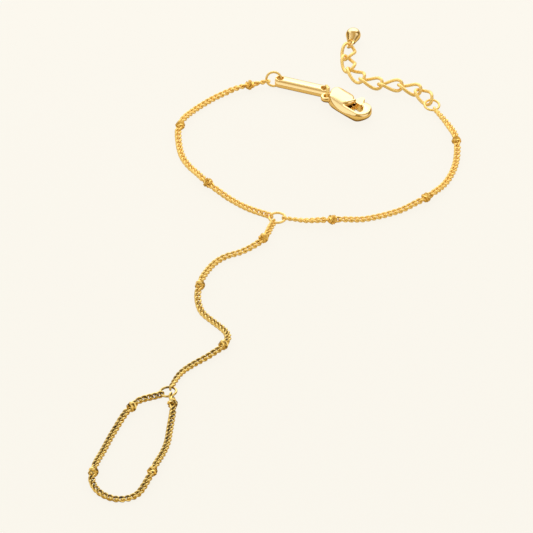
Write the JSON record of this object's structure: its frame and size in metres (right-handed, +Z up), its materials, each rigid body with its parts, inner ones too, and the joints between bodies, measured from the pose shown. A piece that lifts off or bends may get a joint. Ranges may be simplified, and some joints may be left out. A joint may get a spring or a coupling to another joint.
{
  "type": "hand chain bracelet",
  "caption": "Fine gold-coloured hand chain lying open: wrist chain with lobster clasp and extender, a beaded strand over the hand and a finger loop.",
  "frame": {"origin": "on the surface the bracelet lies on, under the middle of its outer box", "axes": "+Z up from the surface, +Y from the finger loop towards the clasp, +X towards the extender side"},
  "size_m": [0.0712, 0.1437, 0.0032],
  "materials": {
    "chain": "polished",
    "bead": "polished",
    "ring": "polished",
    "polished": "polished"
  },
  "bodies": {
    "bracelet": {"wrist_chain_left": "chain", "wrist_chain_right": "chain", "hand_chain": "chain", "finger_chain": "chain", "bead_left_1": "bead", "bead_left_2": "bead", "bead_left_3": "bead", "bead_right_1": "bead", "bead_right_2": "bead", "bead_right_3": "bead", "bead_hand_1": "bead", "bead_hand_2": "bead", "bead_hand_3": "bead", "bead_finger_1": "bead", "bead_finger_2": "bead", "bead_finger_3": "bead", "bead_finger_4": "bead", "wrist_ring": "ring", "finger_ring": "ring", "tag_ring": "ring", "clasp_ring": "ring", "extender_ring": "ring", "extender_link_1": "ring", "extender_link_2": "ring", "extender_link_3": "ring", "extender_link_4": "ring", "extender_link_5": "ring", "extender_link_6": "ring", "extender_link_7": "ring", "tag_bar": "polished", "clasp_body": "polished", "extender_drop": "polished"},
    "lever": {"clasp_lever": "polished"}
  },
  "joints": [
    {"name": "clasp_lever_hinge", "type": "hinge", "parent": "bracelet", "child": "lever", "pos_m": [0.01259, 0.04827, 0.0015], "axis": [0, 0, -1], "range_deg": [0, 22], "stiffness_Nm_per_rad": 0.005, "springref_deg": -20.05}
  ]
}
